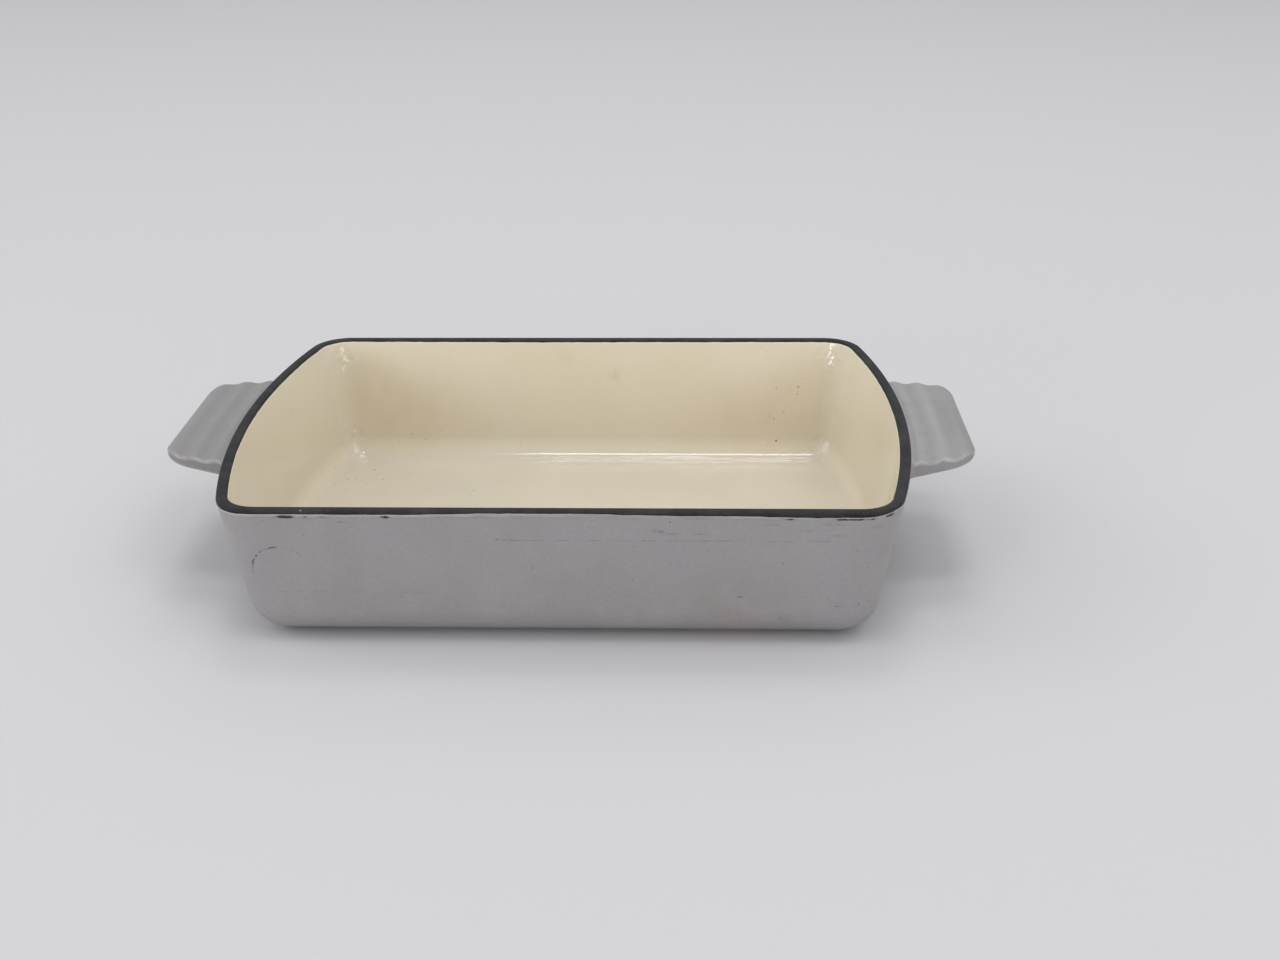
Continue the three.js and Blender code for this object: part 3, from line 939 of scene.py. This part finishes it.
def grey_enamel(colours):
    """Vitreous enamel, sprayed and fired to a satin: soft mottling, faint orange peel, small scuffs."""
    material, tree, shader = new_material("Satin grey vitreous enamel")
    place = add(tree, "ShaderNodeTexCoord", output="Object")
    kept = {}
    for name in ("below_edge", "lip", "chips", "bend", "groove", "handle", "handle_shade", "grime"):
        kept[name] = add(tree, "ShaderNodeAttribute", output="Fac", attribute_name=name)

    # Patterns drawn out down the wall, as runs are, and along it, as flakes are
    runs = add(tree, VECTOR_MATH, {0: place, 1: (1, 1, 1 / 5)}, operation="MULTIPLY")
    flakes = add(tree, VECTOR_MATH, {0: place, 1: (1 / 4, 1 / 4, 1)}, operation="MULTIPLY")

    # The coat has chipped along the crease below its lip
    past_lip = add(tree, MAP_RANGE, {"Value": kept["below_edge"], "From Max": 0.7 * MM})
    crease = {"Value": kept["below_edge"], "From Min": 2.3 * MM, "From Max": 1.3 * MM}
    crease = add(tree, MAP_RANGE, crease)
    crease = add(tree, MATH, {0: past_lip, 1: crease}, operation="MULTIPLY")
    chip_zone = add(tree, MATH, {0: kept["chips"], 1: crease}, operation="MULTIPLY")
    crumble = add(tree, NOISE, {"Vector": place, "Scale": per_mm(1.6), "Detail": 3.0})
    crumble = add(tree, MATH, {0: crumble, 1: chip_zone}, operation="MULTIPLY")
    halo = add(tree, MAP_RANGE, {"Value": crumble, "From Min": 0.1, "From Max": 0.3, "To Max": 0.6})
    chip = add(tree, MAP_RANGE, {"Value": crumble, "From Min": 0.28, "From Max": 0.34})

    # Ridges are painted pale, partly wear and partly a painted highlight; grooves are darkened with
    # painted shade; and the handles' up-facing tops get a lighter, cooler painted sheen
    worn = add(tree, MAP_RANGE, {"Value": kept["bend"], "From Min": 60, "From Max": 400, "To Max": 0.5})
    # Painted shade in the grooves between the ribs
    groove_shade = add(tree, MAP_RANGE, {"Value": kept["groove"], "From Min": 0.4, "To Max": 0.45})
    normal = add(tree, "ShaderNodeNewGeometry", output="Normal")
    facing = add(tree, "ShaderNodeSeparateXYZ", {0: normal}, output="Z")
    # Up-facing faces of the handles: painted sheen from above
    lit_tops_sheen = add(tree, MAP_RANGE, {"Value": facing, "From Min": 0.2, "From Max": 0.7, "To Max": 0.6})

    # Each layer's colour, and the shares that it lies on the surface by
    mottled = cloud(tree, place, 26, low=0.35, high=0.7, strength=0.25, detail=3.0)
    flecked = cloud(tree, place, 1.4, low=0.3, high=0.75, strength=0.14)
    dripped = cloud(tree, runs, 12, low=0.45, high=0.75, strength=0.14, detail=3.0)
    handle_shade_patches = cloud(tree, place, 12, low=-0.2, high=0.6, strength=0.9, detail=3.0)
    spattered = cloud(tree, place, 4, low=0.52, high=0.72, strength=0.3, detail=4.0)
    dirty = cloud(tree, place, 7, low=0.2, high=0.8, strength=0.6, detail=4.0)
    rubbed = cloud(tree, place, 5, low=0.25, high=0.6, strength=1.0)
    # Painted highlight along the lip, in patches
    polished = cloud(tree, place, 6, low=0.3, high=0.55, strength=0.8)
    flaked_and_shaded = cloud(tree, flakes, 2, low=0.4, high=0.7, strength=0.4)
    layers = (
        (colours.deep_grey, mottled),
        (colours.worn_grey, flecked),
        (colours.warm_grey, dripped),
        # Painted sheen: the handles' tops lighter and cooler where they face up
        (colours.cool_grey, kept["handle"], lit_tops_sheen),
        # Painted shade on the handles, in patches
        (colours.deep_grey, kept["handle"], kept["handle_shade"], handle_shade_patches),
        (colours.stained, kept["handle"], spattered),
        # Grooves darkened: painted shade
        (colours.deep_grey, groove_shade),
        (colours.warm_grey, kept["grime"], dirty),
        # Pale ridges and edges: wear, and a painted highlight
        (colours.worn_grey, worn, rubbed),
        # Pale lip below the rim band: painted highlight
        (colours.worn_grey, kept["lip"], polished),
        # Darker broken band along the crease below the lip: flaked enamel, and painted shadow under the
        # lip
        (colours.warm_grey, crease, flaked_and_shaded),
        (colours.scuffed, *rubbed_line(tree, place, z=51.6, x_from=-26, x_to=108)),
        (colours.scuffed, *rubbed_line(tree, place, z=55, x_from=38, x_to=62)),
        (colours.warm_grey, *rubbed_line(tree, place, z=25.5, x_from=-114, x_to=-53)),
        (colours.scuffed, *dotted_arc(tree, place, x=-112, z=36, radius=11.7)),
        (colours.scuffed, *smudged(tree, place, SCUFFS)),
        (colours.stained, *smudged(tree, place, STAINS)),
        (colours.burnt, specks(tree, place, spacing=5, radius=0.5, strength=0.6)),
        (colours.stained, halo),
        (colours.rust, chip),
    )
    tree.links.new(layered(tree, opaque(colours.grey), layers), shader["Base Color"])

    # An uneven satin with orange peel, sunk where it is chipped
    uneven = add(tree, NOISE, {"Vector": place, "Scale": per_mm(12)})
    satin = add(tree, MAP_RANGE, {"Value": uneven, "To Min": 0.34, "To Max": 0.5})
    tree.links.new(satin, shader["Roughness"])
    peel = add(tree, NOISE, {"Vector": place, "Scale": per_mm(1.2), "Detail": 3.0})
    peel = add(tree, BUMP, {"Height": peel, "Strength": 0.35, "Distance": 0.03 * MM})
    sunk = {"Height": chip, "Strength": 1.0, "Distance": 0.25 * MM, "Normal": peel}
    sunk = add(tree, BUMP, sunk, invert=True)
    tree.links.new(sunk, shader["Normal"])
    return material


def cream_enamel(colours):
    """Vitreous enamel, poured and fired to a gloss: an even colour and a slightly wavy shine."""
    material, tree, shader = new_material("Glossy cream vitreous enamel")
    place = add(tree, "ShaderNodeTexCoord", output="Object")
    kept = {}
    for name in ("yellowing_and_shade", "speckling", "sagged"):
        kept[name] = add(tree, "ShaderNodeAttribute", output="Fac", attribute_name=name)

    # Deeper in tone down the wall, yellowed and painted with shade in the back corners, and dulled on the
    # floor with a painted reflection
    height = add(tree, "ShaderNodeSeparateXYZ", {0: place}, output="Z")
    deeper = {"Value": height, "From Min": 75 * MM, "From Max": 22 * MM, "To Max": 0.1}
    deeper = add(tree, MAP_RANGE, deeper)
    on_floor = add(tree, MAP_RANGE, {"Value": height, "From Min": 10 * MM, "From Max": 6.5 * MM})
    mellowed = cloud(tree, place, 60, low=0.4, high=0.75, strength=0.12)
    flecked = cloud(tree, place, 3, low=0.4, high=0.8, strength=0.05)
    baked = cloud(tree, place, 10, low=-0.4, high=0.7, strength=0.75, detail=4.0)
    scoured_and_reflection = cloud(tree, place, 60, low=-0.2, high=0.8, strength=0.9, detail=4.0)
    layers = (
        (colours.yellowed, mellowed),
        (colours.yellowed, flecked),
        (colours.yellowed, deeper),
        # Yellowed corners, partly painted shade where the back wall meets the ends
        (colours.yellowed, kept["yellowing_and_shade"], baked),
        # Dulled floor, partly a painted reflection of the bright room in the glaze
        (colours.milky_and_reflection, on_floor, scoured_and_reflection),
        (colours.burnt, kept["speckling"], specks(tree, place, spacing=3.6, radius=0.8, strength=1.0)),
        (colours.burnt, specks(tree, place, spacing=8, radius=0.5, strength=0.5)),
    )
    tree.links.new(layered(tree, opaque(colours.cream), layers), shader["Base Color"])
    shader["Roughness"].default_value = 0.08

    # Level streaks where the glaze pooled along the floor's edge, waves where it sagged, and fine pits
    pooled = add(tree, MAP_RANGE, {"Value": height, "From Min": 7.2 * MM, "From Max": 6 * MM})
    along = add(tree, VECTOR_MATH, {0: place, 1: (1 / 60, 1 / 60, 1)}, operation="MULTIPLY")
    streaks = add(tree, NOISE, {"Vector": along, "Scale": per_mm(0.5), "Detail": 1.0})
    streaks = add(tree, MATH, {0: streaks, 1: 0.5}, operation="SUBTRACT")
    streaks = add(tree, MATH, {0: streaks, 1: pooled}, operation="MULTIPLY")
    streaky = add(tree, BUMP, {"Height": streaks, "Strength": 1.0, "Distance": 0.5 * MM})
    waves = add(tree, NOISE, {"Vector": place, "Scale": per_mm(4.5), "Detail": 1.0})
    waves = add(tree, MATH, {0: waves, 1: kept["sagged"]}, operation="MULTIPLY")
    wavy = add(tree, BUMP, {"Height": waves, "Distance": 0.8 * MM, "Normal": streaky})
    pits = add(tree, NOISE, {"Vector": place, "Scale": per_mm(2), "Detail": 2.0})
    pits = add(tree, BUMP, {"Height": pits, "Strength": 0.5, "Distance": 0.01 * MM, "Normal": wavy})
    tree.links.new(pits, shader["Normal"])
    return material


def charcoal_enamel(colours):
    """Ground-coat enamel left bare on the rim: matt, dark and finely grained."""
    material, tree, shader = new_material("Matt charcoal ground-coat enamel")
    place = add(tree, "ShaderNodeTexCoord", output="Object")
    layers = (
        (colours.worn_grey, cloud(tree, place, 10, low=0.4, high=0.8, strength=0.04)),
        (colours.worn_grey, cloud(tree, place, 0.7, low=0.5, high=0.8, strength=0.05)),
        (colours.worn_grey, specks(tree, place, spacing=9, radius=0.6, strength=0.6)),
    )
    tree.links.new(layered(tree, opaque(colours.charcoal), layers), shader["Base Color"])
    shader["Roughness"].default_value = 0.62
    shader["Specular IOR Level"].default_value = 0.25

    # The grain is drawn coarser than it is, so that it shows
    grain = add(tree, NOISE, {"Vector": place, "Scale": per_mm(0.8), "Detail": 3.0})
    grain = add(tree, BUMP, {"Height": grain, "Strength": 0.5, "Distance": 0.05 * MM})
    tree.links.new(grain, shader["Normal"])
    return material


def cast_iron(colours):
    """Sand-cast grey iron under the enamel: dark, rough and pebbly."""
    material, tree, shader = new_material("Sand-cast grey iron")
    place = add(tree, "ShaderNodeTexCoord", output="Object")
    layers = [(colours.rust, cloud(tree, place, 6, low=0.4, high=0.75, strength=0.5, detail=4.0))]
    tree.links.new(layered(tree, opaque(colours.iron), layers), shader["Base Color"])
    shader["Metallic"].default_value = 0.8
    shader["Roughness"].default_value = 0.7

    # The sand's grain is drawn coarser than it is, so that it shows
    sand = add(tree, NOISE, {"Vector": place, "Scale": per_mm(0.9), "Detail": 3.0})
    sand = add(tree, BUMP, {"Height": sand, "Strength": 0.8, "Distance": 0.15 * MM})
    tree.links.new(sand, shader["Normal"])
    return material


def studio_paper(colours):
    """Plain matt paper, with hardly any shine."""
    material, _, shader = new_material("Matt studio paper")
    shader["Base Color"].default_value = opaque(colours.floor)
    shader["Roughness"].default_value = 0.9
    shader["Specular IOR Level"].default_value = 0.2
    return material


# Stage: places in metres, the lens in millimetres, angles in degrees

FLOOR_REACH = 4.0
WORLD_STRENGTH = 0.6
SENSOR_WIDTH = 36
LENS = 43.6
CAMERA_TARGET = Vector((0.0275, 0.0696, 0))
CAMERA_DISTANCE = 0.788
CAMERA_AZIMUTH = 1.93
CAMERA_ELEVATION = 24.6
CAMERA_ROLL = -0.62

# Low panels for the front wall, strips for the shine on the lining, and softboxes all round
Lamp = namedtuple("Lamp", "name place aim_z width height spread watts")
LAMPS = (
    Lamp("left_panel", (-1.9, -2.46, 0.6), 0.3, 0.7, 0.84, 60, 1.7),
    Lamp("right_panel", (1.56, -2.76, 0.6), 0.3, 1.4, 0.84, 60, 1.2),
    Lamp("top_strip", (0.06, -0.6, 3.0), 0.03, 0.86, 0.4, 180, 9.5),
    Lamp("back_strip", (0.08, 0.66, 2.95), 0.03, 0.82, 0.7, 180, 9),
    Lamp("top_left_softbox", (-1.7, -0.6, 3.0), 0.03, 1.2, 1.2, 180, 5),
    Lamp("top_right_softbox", (1.5, -0.6, 3.0), 0.03, 1.2, 1.2, 180, 11.5),
    Lamp("front_left_softbox", (-2.2, -2.0, 2.6), 0.03, 1.6, 1.6, 180, 3.5),
    Lamp("front_right_softbox", (2.0, -2.0, 2.6), 0.03, 1.6, 1.6, 180, 11),
    Lamp("side_softbox", (-3.6, 0.2, 2.0), 0.03, 2.0, 2.0, 180, 25),
    Lamp("back_softbox", (0.3, 2.4, 2.6), 0.03, 2.0, 1.0, 180, 4),
)


def add_lamp(scene, lamp):
    """A rectangular soft light, turned to a point above the pan's middle."""
    light = bpy.data.lights.new(lamp.name, "AREA")
    light.shape = "RECTANGLE"
    light.size = lamp.width
    light.size_y = lamp.height
    light.spread = math.radians(lamp.spread)
    light.energy = lamp.watts
    holder = bpy.data.objects.new(lamp.name, light)
    holder.location = lamp.place
    aim = Vector((0, 0, lamp.aim_z)) - holder.location
    holder.rotation_euler = aim.to_track_quat("-Z", "Y").to_euler()
    scene.collection.objects.link(holder)


def add_camera(scene):
    """The camera, at the photograph's angle."""
    camera = bpy.data.cameras.new("Camera")
    camera.sensor_width = SENSOR_WIDTH
    camera.lens = LENS
    holder = bpy.data.objects.new("camera", camera)
    turn = Matrix.Rotation(math.radians(CAMERA_AZIMUTH), 4, "Z")
    turn @= Matrix.Rotation(math.radians(90 - CAMERA_ELEVATION), 4, "X")
    turn @= Matrix.Rotation(math.radians(CAMERA_ROLL), 4, "Z")
    back = turn @ Vector((0, 0, CAMERA_DISTANCE))
    holder.matrix_world = Matrix.Translation(CAMERA_TARGET + back) @ turn
    scene.collection.objects.link(holder)
    scene.camera = holder


# Operators


def fired_values(coats, lean, swing, material):
    """Inputs of the fired-coat tree."""
    return {
        "Swing": swing,
        "Swing length": coats.swing_length,
        "Rag": coats.rag,
        "Rag length": coats.rag_length,
        "Ripple": coats.ripple,
        "Ripple length": coats.ripple_length,
        "Lip": coats.lip,
        "Lean": lean,
        "Seed": coats.seed,
        "Material": material,
    }


class ROASTING_PAN_OT_grey_coats(bpy.types.Operator):
    """Grey coats: the tub's outside with both handles, and the flat base"""

    bl_idname = "roasting_pan.grey_coats"
    bl_label = "Grey Coats"

    def execute(self, context):
        settings = context.scene.roasting_pan
        handle, coats = settings.handle, settings.coats
        pan = PanShape(settings.sizes)
        shape = HandleShape(pan, handle)
        grey = grey_enamel(settings.colours)
        top_z = pan.sizes.height - coats.grey_gap
        vertices, faces = outside_surface(pan, shape, top_z, coats.lip_height)
        outside = mesh_object("outer_coat", vertices, faces)
        for name, values in outside_marks(vertices, pan, shape, top_z, coats.lip_height).items():
            store(outside, name, values)
        ribs = {
            "Rim end": shape.end_x,
            "End radius": pan.end_radius,
            "Reach": handle.reach,
            "Top": shape.top,
            "Rise": handle.rise,
            "Thickness": handle.tip_thickness,
            "Pitch": handle.rib_pitch,
            "Depth": handle.rib_depth,
            "First rib": handle.first_rib,
            "Fillet": handle.top_fillet,
            "Ribs": handle.ribs,
            "Material": grey,
        }
        grow(outside, handle_rib_tree(), ribs)
        fired = fired_values(coats, math.tan(pan.lean), coats.grey_swing, grey)
        grow(outside, fired_coat_tree(), fired)
        store_bend(outside)
        thicken(outside, coats.thickness)
        dress(outside, "outer_enamel")

        foot = pan.ring(pan.foot_levels(count=1)[0], plain_columns(end=12, corner=8, side=16))
        vertices, faces = capped([foot], count=10)
        base = mesh_object("base_coat", vertices, [face[::-1] for face in faces])
        base.data.materials.append(grey)
        thicken(base, coats.thickness)
        dress(base, "base_enamel")
        return {"FINISHED"}


class ROASTING_PAN_OT_lining(bpy.types.Operator):
    """Cream coat of the floor and the inner walls"""

    bl_idname = "roasting_pan.lining"
    bl_label = "Lining"

    def execute(self, context):
        settings = context.scene.roasting_pan
        sizes, coats = settings.sizes, settings.coats
        pan = PanShape(sizes)
        top_z = sizes.height - coats.cream_gap
        edge_rows, wall_rows = 5, 16
        fillet = pan.floor_levels(count=24)
        edge_z = np.linspace(top_z, top_z - 2 * coats.cream_gap, edge_rows)
        wall_z = np.linspace(edge_z[-1], fillet[-1].z, wall_rows)[1:-1]
        wall = [pan.level(pan.inner_inset(z), z) for z in np.concatenate([edge_z, wall_z])]
        columns = plain_columns(end=40, corner=24, side=65)
        rings = [pan.ring(level, columns) for level in wall + fillet[::-1]]
        vertices, faces = capped(rings, count=22)
        lining = mesh_object("lining", vertices, faces)
        store(lining, "edge", np.clip((vertices[:, 2] - top_z) / coats.cream_gap + 1, 0, 1))
        store(lining, "yellowing_and_shade", mark_strength(vertices, YELLOWING_AND_CORNER_SHADE, flattened=3))
        store(lining, "speckling", mark_strength(vertices, SPECKLING))
        store(lining, "sagged", mark_strength(vertices, SAGGED))
        cream = cream_enamel(settings.colours)
        fired = fired_values(coats, -math.tan(pan.lean), coats.cream_swing, cream)
        grow(lining, fired_coat_tree(), fired)
        thicken(lining, coats.thickness)
        dress(lining, "inner_enamel")
        return {"FINISHED"}


class ROASTING_PAN_OT_rim_band(bpy.types.Operator):
    """Charcoal band on the rim, lapped by the grey and the cream"""

    bl_idname = "roasting_pan.rim_band"
    bl_label = "Rim Band"

    def execute(self, context):
        settings = context.scene.roasting_pan
        sizes, coats = settings.sizes, settings.coats
        pan = PanShape(sizes)
        middle_z = sizes.height - coats.band / 2
        middle = pan.level(pan.outer_inset(middle_z) + sizes.wall / 2, middle_z)
        path = pan.ring(middle, plain_columns(end=60, corner=30, side=90))
        edges = [(k, (k + 1) % len(path)) for k in range(len(path))]
        band = mesh_object("rim_band", path, [], edges)
        values = {
            "Width": sizes.wall - 2 * coats.step,
            "Depth": coats.band,
            "Shift": -coats.band * math.tan(pan.lean),
            "Edge radius": coats.rim_edge,
            "Edge points": 8,
            "Material": charcoal_enamel(settings.colours),
        }
        grow(band, rim_band_tree(), values)
        dress(band, "rim_enamel")
        return {"FINISHED"}


class ROASTING_PAN_OT_casting(bpy.types.Operator):
    """Iron casting under the enamel"""

    bl_idname = "roasting_pan.casting"
    bl_label = "Casting"

    def execute(self, context):
        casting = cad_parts["iron_casting"]
        casting.data.materials.clear()
        casting.data.materials.append(cast_iron(context.scene.roasting_pan.colours))
        return {"FINISHED"}


class ROASTING_PAN_OT_stage(bpy.types.Operator):
    """Plain floor, soft studio light and camera"""

    bl_idname = "roasting_pan.stage"
    bl_label = "Stage"

    def execute(self, context):
        scene = context.scene
        scene.view_settings.view_transform = "Standard"
        corners = [(-1, -1, 0), (1, -1, 0), (1, 1, 0), (-1, 1, 0)]
        floor = mesh_object("studio_floor", np.array(corners) * FLOOR_REACH, [(0, 1, 2, 3)])
        floor.data.materials.append(studio_paper(scene.roasting_pan.colours))
        world = bpy.data.worlds.new("Studio")
        world.use_nodes = True
        background = world.node_tree.nodes["Background"].inputs
        background["Color"].default_value = (1, 1, 1, 1)
        background["Strength"].default_value = WORLD_STRENGTH
        scene.world = world
        for lamp in LAMPS:
            add_lamp(scene, lamp)
        add_camera(scene)
        return {"FINISHED"}


class VIEW3D_PT_roasting_pan(bpy.types.Panel):
    """Pieces and settings of the roasting pan"""

    bl_label = "Roasting Pan"
    bl_space_type = "VIEW_3D"
    bl_region_type = "UI"
    bl_category = "Roasting Pan"

    def draw(self, context):
        for operator in OPERATORS:
            self.layout.operator(operator.bl_idname)
        settings = context.scene.roasting_pan
        for group in (settings.sizes, settings.handle, settings.coats, settings.colours):
            box = self.layout.box()
            for name in group.__annotations__:
                box.prop(group, name)


GROUPS = (PanSizes, HandleSizes, CoatSizes, PanColours, PanSettings)
OPERATORS = (
    ROASTING_PAN_OT_stage,
    ROASTING_PAN_OT_casting,
    ROASTING_PAN_OT_grey_coats,
    ROASTING_PAN_OT_lining,
    ROASTING_PAN_OT_rim_band,
)
CLASSES = (*GROUPS, *OPERATORS, VIEW3D_PT_roasting_pan)


def register():
    """Registers the classes and gives the scene the pan's settings."""
    for kind in CLASSES:
        bpy.utils.register_class(kind)
    bpy.types.Scene.roasting_pan = PointerProperty(type=PanSettings)


def unregister():
    """Takes the settings and the classes back."""
    del bpy.types.Scene.roasting_pan
    for kind in reversed(CLASSES):
        bpy.utils.unregister_class(kind)


def main():
    """Dresses the pan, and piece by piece."""
    register()
    bpy.ops.roasting_pan.stage()
    bpy.ops.roasting_pan.casting()
    bpy.ops.roasting_pan.grey_coats()
    bpy.ops.roasting_pan.lining()
    bpy.ops.roasting_pan.rim_band()


if __name__ == "__main__":
    main()
